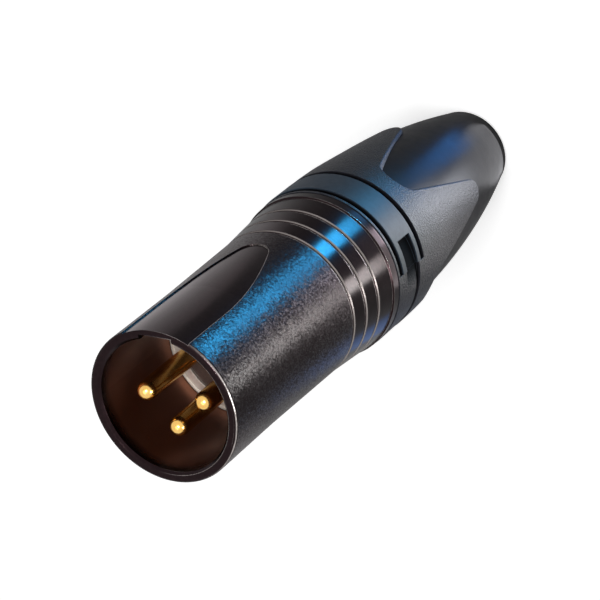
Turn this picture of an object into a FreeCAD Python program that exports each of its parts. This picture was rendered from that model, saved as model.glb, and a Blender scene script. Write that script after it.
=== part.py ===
import FreeCAD, Part
import math
import os
import Sketcher

Vector = FreeCAD.Vector

# Male cable connector with three contacts. Every piece is drawn in the rim frame: Z is the
# station in mm behind the front rim, Y points at the polarising key, X at the second contact.
# The last placement stands the finished piece on its tail: Z up, origin under the tail's centre.

doc = FreeCAD.newDocument("cable_connector")
sheet = doc.addObject("Spreadsheet::Sheet", "sizes")

driving_sizes = [
    ("fit_gap", 0.03, "gap between pieces that seat in each other and never move"),
    ("running_gap", 0.25, "gap round pieces that move past each other"),
    ("over_cut", 1.0, "how far a cutting shape reaches past what it cuts"),
    # shell
    ("bore_radius", 8.2, "inside of the socket"),
    ("shell_wall", 1.3, "wall of the front barrel"),
    ("shell_length", 36.8, "front rim to the shell's rear lip"),
    ("rim_lead", 0.3, "lead-in at the mouth of the socket"),
    ("rim_round", 0.35, "rounding of the rim's outer edge"),
    ("barrel_straight", 12.0, "straight part of the barrel"),
    ("waist_rise", 0.26, "how far the waist stands out over the barrel"),
    ("flare_rise", 0.66, "how far the flare's end stands out over the waist"),
    ("flare_length", 8.5, "from the waist, where the first grip groove is, to the lip"),
    ("lip_height", 0.2, "how far the rear lip stands out over the flare"),
    ("lip_width", 1.5, "width of the rear lip"),
    ("lip_round", 0.25, "rounding of the lip's rear edge"),
    ("groove_count", 3, "grip grooves round the flare"),
    ("groove_pitch", 2.7, "from one grip groove to the next"),
    ("groove_width", 0.58, "width of a grip groove at the surface"),
    ("groove_floor", 0.17, "width of a grip groove at its floor"),
    ("groove_depth", 0.22, "depth of a grip groove"),
    ("stop_station", 17.0, "shoulder inside the shell that the carrier butts against"),
    ("stop_step", 0.4, "how much wider the shell is behind that shoulder"),
    ("thread_relief", 0.15, "how much wider the threaded bore is than the chamber"),
    ("thread_run_out", 2.2, "threaded bore in front of the spigot"),
    ("thread_height", 0.3, "from the threaded bore down to the root of the spigot's thread"),
    ("thread_lead", 0.4, "lead-in at the ends of the thread"),
    ("keyway_width", 4.2, "slot for the mating connector's key"),
    ("keyway_depth", 0.45, "depth of the keyway in the bore"),
    ("keyway_length", 12.0, "length of the keyway"),
    ("latch_station", 8.0, "front end of the recess for the mating latch"),
    ("latch_length", 3.0, "length of the latch recess"),
    ("latch_depth", 0.8, "depth of the latch recess in the bore"),
    ("tongue_half_width", 4.3, "half width of the smooth tongue on the barrel"),
    ("tongue_straight", 8.0, "straight part of the tongue"),
    ("tongue_margin", 3.4, "between the tongue's tip and the waist"),
    ("tongue_tip_radius", 2.05, "radius of the tongue's tip"),
    ("tongue_depth", 0.16, "how far the tongue lies below the barrel"),
    # contact carrier
    ("carrier_step", 1.7, "how far the carrier's face stands in front of the shoulder"),
    ("flange_length", 4.0, "thick disc that holds the contacts"),
    ("skirt_length", 5.7, "length of the carrier's rear skirt"),
    ("skirt_wall", 1.1, "wall of the carrier's rear skirt"),
    # contacts
    ("pin_radius", 1.2, "contact pin"),
    ("pin_circle", 3.81, "radius of the circle of contacts"),
    ("pin_tip_station", 1.8, "front end of the contact pins"),
    ("pin_shank_step", 0.25, "how much thicker the contact is inside the carrier"),
    ("pin_collar_height", 0.5, "collar that keeps a contact in the carrier, over the pin"),
    ("pin_collar_inset", 2.5, "from the carrier's face to that collar"),
    ("pin_collar_length", 1.4, "length of that collar"),
    ("cup_bore_radius", 1.05, "inside of the solder cup"),
    ("cup_wall", 0.4, "wall of the solder cup"),
    ("cup_reach", 2.6, "how far the solder cups stand out behind the carrier"),
    ("cup_depth", 5.2, "depth of the solder cup"),
    ("cup_window", 3.6, "length of the side opening of the cup"),
    ("cup_window_offset", 0.26, "where that opening starts, from the contact's axis"),
    ("cup_gap", 0.3, "room between the solder cups and the chuck's ring"),
    # earthing contact
    ("earth_thickness", 0.35, "sheet of the earthing contact"),
    ("earth_ring_width", 1.34, "width of the earthing ring"),
    ("earth_lip", 0.2, "turned-up outer edge of the earthing ring"),
    ("earth_tab_width", 2.2, "width of the tab that runs back through the carrier"),
    ("earth_tag_gap", 0.4, "between the end of the solder tag and the chuck"),
    ("earth_hole_radius", 0.55, "wire hole in the solder tag"),
    ("earth_angle", 52.0, "where the tab runs, from X towards Y"),
    # cable chuck
    ("chuck_wall", 2.5, "wall of the chuck's neck"),
    ("cable_gap", 0.4, "between the cable entry at the tail and the chuck's bore"),
    ("chuck_clearance", 0.4, "between the chuck's front ring and the shell"),
    ("chuck_ring_length", 3.6, "length of the front ring"),
    ("chuck_reach", 14.2, "how far the jaws reach behind the shell"),
    ("jaw_length", 9.0, "tapered part of the jaws"),
    ("jaw_end_wall", 1.2, "wall of the jaws at their end"),
    ("slit_width", 1.1, "slits between the jaws"),
    ("slit_length", 15.0, "length of the slits"),
    ("tooth_height", 0.45, "height of the gripping teeth"),
    ("tooth_pitch", 1.6, "from one gripping tooth to the next"),
    ("tooth_margin", 1.1, "from the end of the jaws to the first tooth"),
    ("tooth_count", 4, "gripping teeth along a jaw"),
    ("prong_width", 2.0, "prongs that key the chuck to the carrier"),
    ("prong_length", 2.6, "reach of those prongs"),
    # boot sleeve
    ("spigot_gap", 0.6, "between the chuck's front ring and the spigot"),
    ("spigot_wall", 1.2, "wall of the threaded spigot"),
    ("sleeve_step", 0.13, "how much wider the sleeve is than the shell's lip"),
    ("collar_step", 0.07, "how far the front band lies below the sleeve"),
    ("collar_length", 4.5, "length of the sleeve's front band"),
    ("collar_groove_width", 0.7, "groove behind the front band"),
    ("collar_groove_depth", 0.4, "depth of that groove"),
    ("petal_length", 15.4, "from the valleys to the tips of the petals"),
    ("petal_height", 0.8, "how far the sleeve stands out over the gland at the valleys"),
    ("petal_taper", 1.33, "how far the petals draw in towards their tips"),
    ("blend_lead", 0.8, "from where the sleeve starts to draw in to the gland's pocket"),
    ("petal_tip_round", 1.7, "radius of the petal's tip seen from outside"),
    ("valley_round", 2.3, "radius of the valley's bottom"),
    ("petal_edge_round", 0.25, "rounding of the petals' outer edges"),
    ("petal_count", 4, "petals round the boot"),
    ("petal_angle", 76.0, "direction of the petal over the key side"),
    ("anchor_wall", 0.45, "wall of the tube that the gland is moulded on, at its root"),
    ("anchor_length", 11.5, "length of that tube behind the valleys"),
    ("anchor_pocket", 2.0, "how far the gland reaches into the sleeve"),
    ("pocket_wall", 1.2, "between the ring's seat and that pocket"),
    ("cone_clearance", 0.2, "how much wider the tube's end is than the end of the jaws"),
    ("cone_wall", 1.0, "wall of the tube at its end"),
    # coding ring
    ("ring_inset", 0.35, "from the sleeve's front face to the ring's seat"),
    ("ring_width", 6.15, "width of the ring's seat"),
    ("ring_seat_depth", 1.25, "depth of the ring's seat"),
    ("ring_base_height", 0.45, "floor of the slots beside the ring's band, over the seat"),
    ("ring_band_height", 0.03, "how far the ring's band stands out over the sleeve"),
    ("ring_front_slot", 0.75, "front slot"),
    ("ring_rear_slot", 0.9, "rear slot"),
    ("ring_half_angle", 99.0, "half of the ring's wrap"),
    ("ring_end_angle", 0.2, "gap at each end of the ring"),
    ("pry_half_angle", 21.0, "half width of the recess at each end of the ring"),
    ("pry_length", 2.9, "length of that recess along the plug"),
    ("pry_depth", 0.7, "depth of that recess"),
    # gland
    ("gland_length", 31.1, "from the valleys to the tail"),
    ("gland_curve", 128.0, "radius of the gland's long side"),
    ("tail_wall", 1.65, "wall of the gland round the cable, before the tail's rounding"),
    ("tail_round", 0.9, "rounding of the tail"),
    ("cable_entry_length", 8.0, "straight part of the cable entry"),
]

# what follows from those sizes: radii step outwards from the socket, stations run back from the rim
derived_sizes = [
    ("barrel_radius", "bore_radius + shell_wall"),
    ("waist_radius", "barrel_radius + waist_rise"),
    ("flare_radius", "waist_radius + flare_rise"),
    ("lip_radius", "flare_radius + lip_height"),
    ("chamber_radius", "bore_radius + stop_step"),
    ("thread_bore_radius", "chamber_radius + thread_relief"),
    ("spigot_radius", "thread_bore_radius - thread_height"),
    ("sleeve_bore_radius", "spigot_radius - spigot_wall"),
    ("waist_station", "shell_length - lip_width - flare_length"),
    ("tongue_length", "waist_station - tongue_margin"),
    ("carrier_station", "stop_station - carrier_step"),
    ("flange_end_station", "carrier_station + flange_length"),
    ("carrier_end_station", "flange_end_station + skirt_length"),
    ("pin_shank_radius", "pin_radius + pin_shank_step"),
    ("pin_collar_radius", "pin_radius + pin_collar_height"),
    ("pin_collar_station", "carrier_station + pin_collar_inset"),
    ("pin_end_station", "carrier_end_station + cup_reach"),
    ("cup_radius", "cup_bore_radius + cup_wall"),
    ("chuck_ring_radius", "chamber_radius - chuck_clearance"),
    ("chuck_ring_bore", "pin_circle + cup_radius + cup_gap"),
    ("chuck_ring_end_station", "carrier_end_station + chuck_ring_length"),
    ("chuck_neck_radius", "sleeve_bore_radius - running_gap"),
    ("chuck_bore_radius", "chuck_neck_radius - chuck_wall"),
    ("cable_radius", "chuck_bore_radius - cable_gap"),
    ("chuck_end_station", "shell_length + chuck_reach"),
    ("jaw_station", "chuck_end_station - jaw_length"),
    ("jaw_end_radius", "chuck_bore_radius + jaw_end_wall"),
    ("skirt_bore_radius", "chuck_ring_radius - skirt_wall"),
    ("earth_radius", "bore_radius - 2 * fit_gap"),
    ("earth_tab_radius", "skirt_bore_radius - earth_thickness"),
    ("spigot_station", "chuck_ring_end_station + spigot_gap"),
    ("thread_station", "spigot_station - thread_run_out"),
    ("sleeve_radius", "lip_radius + sleeve_step"),
    ("collar_radius", "sleeve_radius - collar_step"),
    ("collar_end_station", "shell_length + collar_length"),
    ("ring_front_station", "shell_length + ring_inset"),
    ("ring_rear_station", "ring_front_station + ring_width"),
    ("ring_seat_radius", "sleeve_radius - ring_seat_depth"),
    ("ring_base_radius", "ring_seat_radius + ring_base_height"),
    ("ring_band_radius", "sleeve_radius + ring_band_height"),
    ("pocket_station", "ring_rear_station + pocket_wall"),
    ("petal_station", "pocket_station + anchor_pocket"),
    ("petal_tip_station", "petal_station + petal_length"),
    ("petal_tip_radius", "sleeve_radius - petal_taper"),
    ("petal_side", "sqrt(petal_length ^ 2 + petal_taper ^ 2)"),
    ("blend_length", "anchor_pocket + blend_lead"),
    ("blend_radius", "blend_length * petal_taper / (petal_side - petal_length)"),
    ("blend_station", "petal_station - blend_length"),
    ("blend_end_station", "petal_station + blend_length * petal_length / petal_side"),
    ("blend_end_radius", "sleeve_radius - blend_length * petal_taper / petal_side"),
    ("valley_edge_radius", "sleeve_radius - blend_radius + sqrt(blend_radius ^ 2 - blend_length ^ 2)"),
    ("gland_radius", "sleeve_radius - petal_height"),
    ("anchor_radius", "sleeve_bore_radius + anchor_wall"),
    ("anchor_end_station", "petal_station + anchor_length"),
    ("cone_end_radius", "jaw_end_radius + cone_clearance"),
    ("anchor_end_radius", "cone_end_radius + cone_wall"),
    ("gland_tail_radius", "cable_radius + tail_wall"),
    ("overall_length", "petal_station + gland_length"),
]

edge_tolerance = 0.001  # mm, within which an edge is the one looked for

for row, (alias, size, meaning) in enumerate(driving_sizes, start=1):
    sheet.set(f"A{row}", meaning)
    sheet.set(f"B{row}", str(size))
    sheet.setAlias(f"B{row}", alias)
for row, (alias, formula) in enumerate(derived_sizes, start=len(driving_sizes) + 1):
    sheet.set(f"B{row}", f"={formula}")
    sheet.setAlias(f"B{row}", alias)
    doc.recompute()


def value(expression):
    # the number that an expression over the sheet's cells has now
    return float(sheet.evalExpression(expression))


def distance(sketch, kind, geometry, point, expression):
    # DistanceX or DistanceY of a point, bound to the sheet
    index = sketch.addConstraint(Sketcher.Constraint(kind, geometry, point, value(expression)))
    sketch.setExpression(f"Constraints[{index}]", expression)


def radius_of(sketch, geometry, expression):
    index = sketch.addConstraint(Sketcher.Constraint("Radius", geometry, value(expression)))
    sketch.setExpression(f"Constraints[{index}]", expression)


def located(sketch, geometry, point, across, along):
    # ties one point of a sketch to a distance across the axis and a station along it
    if across == "0":
        sketch.addConstraint(Sketcher.Constraint("PointOnObject", geometry, point, -2))
    else:
        distance(sketch, "DistanceX", geometry, point, across)
    if along == "0":
        sketch.addConstraint(Sketcher.Constraint("PointOnObject", geometry, point, -1))
    else:
        distance(sketch, "DistanceY", geometry, point, along)


def arc_between(start, end, radius, side):
    # the short arc from start to end; side 1 bulges to the left of the way there
    chord = end - start
    middle = (start + end) * 0.5
    normal = Vector(-chord.y, chord.x, 0).normalize()
    to_centre = math.sqrt(max(radius ** 2 - (chord.Length / 2) ** 2, 0.0))
    centre = middle - normal * to_centre * side
    from_angle = math.atan2(start.y - centre.y, start.x - centre.x)
    to_angle = math.atan2(end.y - centre.y, end.x - centre.x)
    circle = Part.Circle(centre, Vector(0, 0, 1), radius)
    if side > 0:
        return Part.ArcOfCircle(circle, to_angle, from_angle), 2, 1
    return Part.ArcOfCircle(circle, from_angle, to_angle), 1, 2


def half_section(body, name, outline):
    # A closed outline on the XZ plane. Each entry is (distance from the axis, station), and a
    # third and fourth value make the stretch to the next entry an arc: its radius and its side.
    sketch = body.newObject("Sketcher::SketchObject", name)
    plane = [item for item in body.Origin.OriginFeatures if item.Role == "XZ_Plane"][0]
    sketch.AttachmentSupport = (plane, [""])
    sketch.MapMode = "FlatFace"
    corners = [Vector(value(entry[0]), value(entry[1]), 0) for entry in outline]
    ends = []
    for index, entry in enumerate(outline):
        start = corners[index]
        end = corners[(index + 1) % len(corners)]
        if len(entry) > 2:
            arc, first, last = arc_between(start, end, value(entry[2]), entry[3])
            geometry = sketch.addGeometry(arc)
            radius_of(sketch, geometry, entry[2])
        else:
            geometry = sketch.addGeometry(Part.LineSegment(start, end))
            first, last = 1, 2
        ends.append((geometry, first, last))
    for index, (geometry, first, last) in enumerate(ends):
        following, start_point, _ = ends[(index + 1) % len(ends)]
        sketch.addConstraint(Sketcher.Constraint("Coincident", geometry, last, following, start_point))
        located(sketch, geometry, first, outline[index][0], outline[index][1])
    return sketch


def turned(name, outline):
    # a body turned about the plug's axis from a half section
    body = doc.addObject("PartDesign::Body", name)
    sketch = half_section(body, f"{name}_section", outline)
    revolution = body.newObject("PartDesign::Revolution", f"{name}_turned")
    revolution.Profile = sketch
    revolution.ReferenceAxis = (sketch, ["V_Axis"])
    revolution.Angle = 360
    doc.recompute()
    return body


def ring_groove(body, name, outline):
    # cuts a ring of the given section out of a turned body
    before = body.Shape.Volume
    sketch = half_section(body, f"{name}_section", outline)
    groove = body.newObject("PartDesign::Groove", name)
    groove.Profile = sketch
    groove.ReferenceAxis = (sketch, ["V_Axis"])
    groove.Angle = 360
    doc.recompute()
    if body.Shape.Volume >= before:
        raise RuntimeError(f"{name} removed nothing")


def rounded(body, name, radius, places):
    # rounds the circular edges that lie at the given (radius, station) places
    wanted = [(value(across), value(along)) for across, along in places]
    base = body.Tip
    edges = []
    for index, edge in enumerate(base.Shape.Edges, start=1):
        if not isinstance(edge.Curve, Part.Circle):
            continue
        for across, along in wanted:
            same_radius = abs(edge.Curve.Radius - across) < edge_tolerance
            if same_radius and abs(edge.Curve.Center.z - along) < edge_tolerance:
                edges.append(f"Edge{index}")
    if len(edges) < len(places):
        raise RuntimeError(f"{name} did not find its edges")
    fillet = body.newObject("PartDesign::Fillet", name)
    fillet.Base = (base, edges)
    fillet.Radius = value(radius)
    fillet.setExpression("Radius", radius)
    doc.recompute()


def softened(name, base, surfaces, radius):
    # rounds the edges of a finished solid that run along the given surfaces, but not their seams
    doc.recompute()
    base_shape = base.Shape
    edges = []
    for index, edge in enumerate(base_shape.Edges, start=1):
        if isinstance(edge.Curve, (Part.Line, Part.Circle)):
            continue
        points = [Part.Vertex(point) for point in edge.discretize(5)]
        if all(min(face.distToShape(point)[0] for face in surfaces) < edge_tolerance for point in points):
            edges.append(f"Edge{index}")
    body = doc.addObject("PartDesign::Body", name)
    body.BaseFeature = base
    doc.recompute()
    sharp = body.Tip
    fillet = body.newObject("PartDesign::Fillet", f"{name}_rounding")
    fillet.Base = (sharp, edges)
    fillet.Radius = value(radius)
    fillet.setExpression("Radius", radius)
    doc.recompute()
    if body.Shape.Volume >= base_shape.Volume:
        raise RuntimeError(f"{name} was not rounded")
    return body


def bind(item, **expressions):
    # binds properties to the sheet; a double underscore stands for a dot in a property's path
    for path, expression in expressions.items():
        item.setExpression(path.replace("__", "."), expression)


def cylinder(name, radius, length, station, across_x="0", across_y="0", angle=None):
    item = doc.addObject("Part::Cylinder", name)
    bind(item, Radius=radius, Height=length, Placement__Base__x=across_x,
         Placement__Base__y=across_y, Placement__Base__z=station)
    if angle is not None:
        bind(item, Angle=angle)
    return item


def box(name, size_x, size_y, size_z, place_x, place_y, place_z):
    item = doc.addObject("Part::Box", name)
    bind(item, Length=size_x, Width=size_y, Height=size_z, Placement__Base__x=place_x,
         Placement__Base__y=place_y, Placement__Base__z=place_z)
    return item


def turned_copy(source, name, angle):
    # a linked copy of a piece, turned about the plug's axis
    item = doc.addObject("Part::Compound", name)
    item.Links = [source]
    item.Placement = FreeCAD.Placement(Vector(), FreeCAD.Rotation(Vector(0, 0, 1), value(angle)))
    bind(item, Placement__Rotation__Angle=angle)
    return item


def joined(name, items):
    item = doc.addObject("Part::MultiFuse", name)
    item.Shapes = items
    item.Refine = True
    return item


def cut(name, base, tool):
    item = doc.addObject("Part::Cut", name)
    item.Base = base
    item.Tool = tool
    item.Refine = True
    return item


def common(name, first, second):
    item = doc.addObject("Part::MultiCommon", name)
    item.Shapes = [first, second]
    return item


def prism(name, sketch, depth):
    # a flat outline on the XZ plane, pushed out towards the key side
    item = doc.addObject("Part::Extrusion", name)
    item.Base = sketch
    item.DirMode = "Custom"
    item.Dir = Vector(0, 1, 0)
    item.Solid = True
    bind(item, LengthFwd=depth)
    return item


def side_sketch(name):
    # a free sketch on the XZ plane: across is X, along is the station
    sketch = doc.addObject("Sketcher::SketchObject", name)
    sketch.Placement = FreeCAD.Placement(Vector(), FreeCAD.Rotation(Vector(1, 0, 0), 90))
    return sketch


# Shell: die-cast zinc, one piece from the rim to the threaded rear end

def make_shell():
    body = turned("shell_casting", [
        ("sizes.bore_radius + sizes.rim_lead", "0"),
        ("sizes.barrel_radius", "0"),
        ("sizes.barrel_radius", "sizes.barrel_straight"),
        ("sizes.waist_radius", "sizes.waist_station"),
        ("sizes.flare_radius", "sizes.shell_length - sizes.lip_width"),
        ("sizes.lip_radius", "sizes.shell_length - sizes.lip_width + sizes.lip_height"),
        ("sizes.lip_radius", "sizes.shell_length"),
        ("sizes.thread_bore_radius + sizes.thread_lead", "sizes.shell_length"),
        ("sizes.thread_bore_radius", "sizes.shell_length - sizes.thread_lead"),
        ("sizes.thread_bore_radius", "sizes.thread_station"),
        ("sizes.chamber_radius", "sizes.thread_station"),
        ("sizes.chamber_radius", "sizes.stop_station"),
        ("sizes.bore_radius", "sizes.stop_station"),
        ("sizes.bore_radius", "sizes.rim_lead"),
    ])
    for number in range(int(value("sizes.groove_count"))):
        station = f"(sizes.waist_station + {number} * sizes.groove_pitch)"
        slope = "sizes.flare_rise / sizes.flare_length"
        surface = f"(sizes.waist_radius + {number} * sizes.groove_pitch * {slope})"
        half_floor = "sizes.groove_floor / 2"
        half_top = "(sizes.groove_width - sizes.groove_floor / 2)"
        ring_groove(body, f"grip_groove_{number + 1}", [
            (f"{surface} - sizes.groove_depth", f"{station} - {half_floor}"),
            (f"{surface} + sizes.groove_depth", f"{station} - {half_top}"),
            (f"{surface} + sizes.groove_depth", f"{station} + {half_top}"),
            (f"{surface} - sizes.groove_depth", f"{station} + {half_floor}"),
        ])
    rounded(body, "rim_rounding", "sizes.rim_round", [("sizes.barrel_radius", "0")])
    rounded(body, "lip_rounding", "sizes.lip_round", [("sizes.lip_radius", "sizes.shell_length")])
    keyway = box("keyway", "sizes.keyway_width", "sizes.bore_radius + sizes.keyway_depth",
                 "sizes.keyway_length + sizes.rim_lead",
                 "-sizes.keyway_width / 2", "0", "-sizes.rim_lead")
    latch = box("latch_recess", "sizes.keyway_width", "sizes.bore_radius + sizes.latch_depth",
                "sizes.latch_length", "-sizes.keyway_width / 2", "0", "sizes.latch_station")
    slots = joined("socket_slots", [keyway, latch, tongue_recess()])
    return cut("shell", body, slots)


def tongue_recess():
    # the smooth tongue: a shallow recess with the barrel's own curve as its floor
    half_width = value("sizes.tongue_half_width")
    straight = value("sizes.tongue_straight")
    tip_radius = value("sizes.tongue_tip_radius")
    tip_centre = value("sizes.tongue_length") - tip_radius
    front_text = "-sizes.rim_round - sizes.over_cut"
    front = value(front_text)
    rise = tip_centre - straight
    side_radius = (half_width ** 2 + rise ** 2 - tip_radius ** 2) / (2 * (half_width - tip_radius))
    side_centre = half_width - side_radius
    lean = math.atan2(rise, -side_centre)
    sketch = side_sketch("tongue_outline")
    up = Vector(0, 0, 1)
    front_left = Vector(-half_width, front, 0)
    front_right = Vector(half_width, front, 0)
    bottom = sketch.addGeometry(Part.LineSegment(front_left, front_right))
    right = sketch.addGeometry(Part.LineSegment(front_right, Vector(half_width, straight, 0)))
    right_arc = sketch.addGeometry(Part.ArcOfCircle(
        Part.Circle(Vector(side_centre, straight, 0), up, side_radius), 0, lean))
    tip_arc = sketch.addGeometry(Part.ArcOfCircle(
        Part.Circle(Vector(0, tip_centre, 0), up, tip_radius), lean, math.pi - lean))
    left_arc = sketch.addGeometry(Part.ArcOfCircle(
        Part.Circle(Vector(-side_centre, straight, 0), up, side_radius), math.pi - lean, math.pi))
    left = sketch.addGeometry(Part.LineSegment(Vector(-half_width, straight, 0), front_left))
    for first, first_end, second, second_end in (
            (bottom, 2, right, 1), (left, 2, bottom, 1)):
        sketch.addConstraint(Sketcher.Constraint("Coincident", first, first_end, second, second_end))
    for first, first_end, second, second_end in (
            (right, 2, right_arc, 1), (right_arc, 2, tip_arc, 1),
            (tip_arc, 2, left_arc, 1), (left_arc, 2, left, 1)):
        sketch.addConstraint(Sketcher.Constraint("Tangent", first, first_end, second, second_end))
    sketch.addConstraint(Sketcher.Constraint("Vertical", right))
    sketch.addConstraint(Sketcher.Constraint("Vertical", left))
    sketch.addConstraint(Sketcher.Constraint("PointOnObject", tip_arc, 3, -2))
    distance(sketch, "DistanceX", right, 1, "sizes.tongue_half_width")
    distance(sketch, "DistanceX", left, 2, "-sizes.tongue_half_width")
    distance(sketch, "DistanceY", right, 1, front_text)
    distance(sketch, "DistanceY", left, 2, front_text)
    distance(sketch, "DistanceY", right, 2, "sizes.tongue_straight")
    distance(sketch, "DistanceY", left, 1, "sizes.tongue_straight")
    distance(sketch, "DistanceY", tip_arc, 3, "sizes.tongue_length - sizes.tongue_tip_radius")
    radius_of(sketch, tip_arc, "sizes.tongue_tip_radius")
    outside = "sizes.lip_radius + sizes.over_cut"
    outline = prism("tongue_prism", sketch, outside)
    floor = turned("tongue_floor", [
        ("sizes.barrel_radius - sizes.tongue_depth", f"{front_text} - sizes.over_cut"),
        (outside, f"{front_text} - sizes.over_cut"),
        (outside, "sizes.waist_station"),
        ("sizes.waist_radius - sizes.tongue_depth", "sizes.waist_station"),
        ("sizes.barrel_radius - sizes.tongue_depth", "sizes.barrel_straight"),
    ])
    return common("tongue_recess", outline, floor)


# Contact carrier: moulded disc with a rear skirt, loaded from behind against the shell's shoulder

pin_places = {
    "contact_pin_1": ("-sizes.pin_circle", "0"),
    "contact_pin_2": ("sizes.pin_circle", "0"),
    "contact_pin_3": ("0", "-sizes.pin_circle"),
}


def make_contact_carrier():
    body = turned("carrier_moulding", [
        ("0", "sizes.carrier_station"),
        ("sizes.bore_radius - sizes.fit_gap", "sizes.carrier_station"),
        ("sizes.bore_radius - sizes.fit_gap", "sizes.stop_station"),
        ("sizes.chamber_radius - sizes.fit_gap", "sizes.stop_station"),
        ("sizes.chamber_radius - sizes.fit_gap", "sizes.flange_end_station"),
        ("sizes.chuck_ring_radius", "sizes.flange_end_station"),
        ("sizes.chuck_ring_radius", "sizes.carrier_end_station"),
        ("sizes.skirt_bore_radius", "sizes.carrier_end_station"),
        ("sizes.skirt_bore_radius", "sizes.flange_end_station"),
        ("0", "sizes.flange_end_station"),
    ])
    holes = []
    for name, (across_x, across_y) in pin_places.items():
        holes.append(cylinder(f"{name}_hole", "sizes.pin_shank_radius + sizes.fit_gap",
                              "sizes.flange_length + 2 * sizes.over_cut",
                              "sizes.carrier_station - sizes.over_cut", across_x, across_y))
        holes.append(cylinder(f"{name}_collar_hole", "sizes.pin_collar_radius + sizes.fit_gap",
                              "sizes.flange_length", "sizes.pin_collar_station",
                              across_x, across_y))
    for side, turn in (("left", "180"), ("right", "0")):
        slot = box(f"prong_slot_{side}_blank", "sizes.chamber_radius",
                   "sizes.prong_width + 2 * sizes.running_gap",
                   "sizes.skirt_length + sizes.over_cut", "0",
                   "-sizes.prong_width / 2 - sizes.running_gap", "sizes.flange_end_station")
        holes.append(turned_copy(slot, f"prong_slot_{side}", turn))
    tab_slot = box("tab_slot_blank", "sizes.earth_thickness + 2 * sizes.fit_gap",
                   "sizes.earth_tab_width + 2 * sizes.fit_gap",
                   "sizes.flange_length + sizes.skirt_length + 2 * sizes.over_cut",
                   "sizes.earth_tab_radius - sizes.fit_gap",
                   "-sizes.earth_tab_width / 2 - sizes.fit_gap",
                   "sizes.carrier_station - sizes.over_cut")
    holes.append(turned_copy(tab_slot, "tab_slot", "sizes.earth_angle"))
    return cut("contact_carrier", body, joined("carrier_holes", holes))


# Contacts: turned and gold plated, round tip in front, solder cup behind

def make_contact_pin(name, across_x, across_y):
    body = turned(f"{name}_turning", [
        ("0", "sizes.pin_tip_station", "sizes.pin_radius", -1),
        ("sizes.pin_radius", "sizes.pin_tip_station + sizes.pin_radius"),
        ("sizes.pin_radius", "sizes.carrier_station"),
        ("sizes.pin_shank_radius", "sizes.carrier_station"),
        ("sizes.pin_shank_radius", "sizes.pin_collar_station"),
        ("sizes.pin_collar_radius", "sizes.pin_collar_station"),
        ("sizes.pin_collar_radius", "sizes.pin_collar_station + sizes.pin_collar_length"),
        ("sizes.cup_radius", "sizes.pin_collar_station + sizes.pin_collar_length"),
        ("sizes.cup_radius", "sizes.pin_end_station"),
        ("sizes.cup_bore_radius", "sizes.pin_end_station"),
        ("sizes.cup_bore_radius", "sizes.pin_end_station - sizes.cup_depth"),
        ("0", "sizes.pin_end_station - sizes.cup_depth"),
    ])
    window = box(f"{name}_cup_window", "2 * sizes.cup_radius", "sizes.cup_radius",
                 "sizes.cup_window + sizes.over_cut", "-sizes.cup_radius",
                 "sizes.cup_window_offset", "sizes.pin_end_station - sizes.cup_window")
    pin = cut(name, body, window)
    bind(pin, Placement__Base__x=across_x, Placement__Base__y=across_y)
    return pin


# Earthing contact: stamped ring on the carrier's face, with a tab that ends in a solder tag

def make_earth_contact():
    top = "sizes.carrier_station - sizes.earth_thickness"
    tag_end = "(sizes.carrier_end_station - sizes.earth_tag_gap)"
    ring = turned("earth_ring", [
        ("sizes.earth_radius - sizes.earth_ring_width", top),
        ("sizes.earth_radius - sizes.earth_lip", top),
        ("sizes.earth_radius - sizes.earth_lip", f"{top} - sizes.earth_lip"),
        ("sizes.earth_radius", f"{top} - sizes.earth_lip"),
        ("sizes.earth_radius", "sizes.carrier_station"),
        ("sizes.earth_radius - sizes.earth_ring_width", "sizes.carrier_station"),
    ])
    tab = box("earth_tab_blank", "sizes.earth_thickness", "sizes.earth_tab_width",
              f"{tag_end} - ({top})", "sizes.earth_tab_radius",
              "-sizes.earth_tab_width / 2", top)
    wire_hole = cylinder("earth_wire_hole", "sizes.earth_hole_radius", "sizes.bore_radius",
                         f"{tag_end} - sizes.earth_tab_width / 2")
    wire_hole.Placement.Rotation = FreeCAD.Rotation(Vector(0, 1, 0), 90)
    tag = turned_copy(cut("earth_tag", tab, wire_hole), "earth_tab", "sizes.earth_angle")
    return joined("earth_contact", [ring, tag])


# Cable chuck: one moulding with a ring against the carrier and four clamping jaws

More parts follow.
